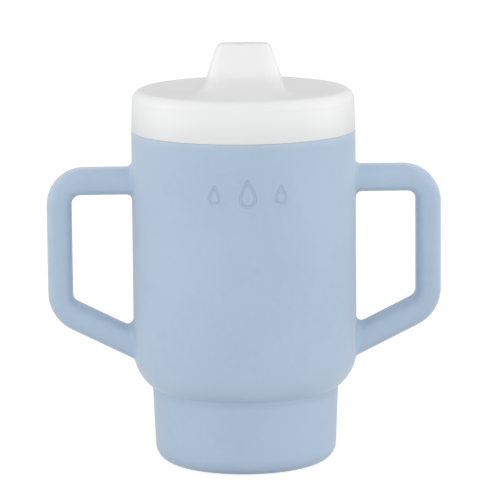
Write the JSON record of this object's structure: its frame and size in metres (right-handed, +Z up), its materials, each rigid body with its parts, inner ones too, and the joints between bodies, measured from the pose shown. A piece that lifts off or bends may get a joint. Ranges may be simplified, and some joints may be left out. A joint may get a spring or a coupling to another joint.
{
  "type": "two-handled sippy cup",
  "caption": "Toddler drinking cup with a stepped base, a loop handle on each side, and a push-on spouted lid holding a spill valve and seal ring.",
  "frame": {"origin": "centre of the foot's underside, on the surface the cup stands on", "axes": "+Z up along the cup's axis, -Y towards the side the spout is on, handles on +X and -X"},
  "size_m": [0.127, 0.0722, 0.137],
  "materials": {
    "body_silicone": "matte pastel blue silicone, soft to the touch",
    "lid_plastic": "satin white moulded polypropylene",
    "seal_silicone": "translucent pale grey silicone",
    "valve_silicone": "translucent milky silicone"
  },
  "bodies": {
    "cup": {"cup_body": "body_silicone"},
    "lid": {"lid": "lid_plastic", "lid_seal": "seal_silicone"},
    "valve": {"spout_valve": "valve_silicone"}
  },
  "joints": [
    {"name": "lid_lift", "type": "slide", "parent": "cup", "child": "lid", "axis": [0, 0, 1], "range_m": [0, 0.045]},
    {"name": "valve_pull", "type": "slide", "parent": "lid", "child": "valve", "axis": [0, 0, -1], "range_m": [0, 0.02]}
  ]
}
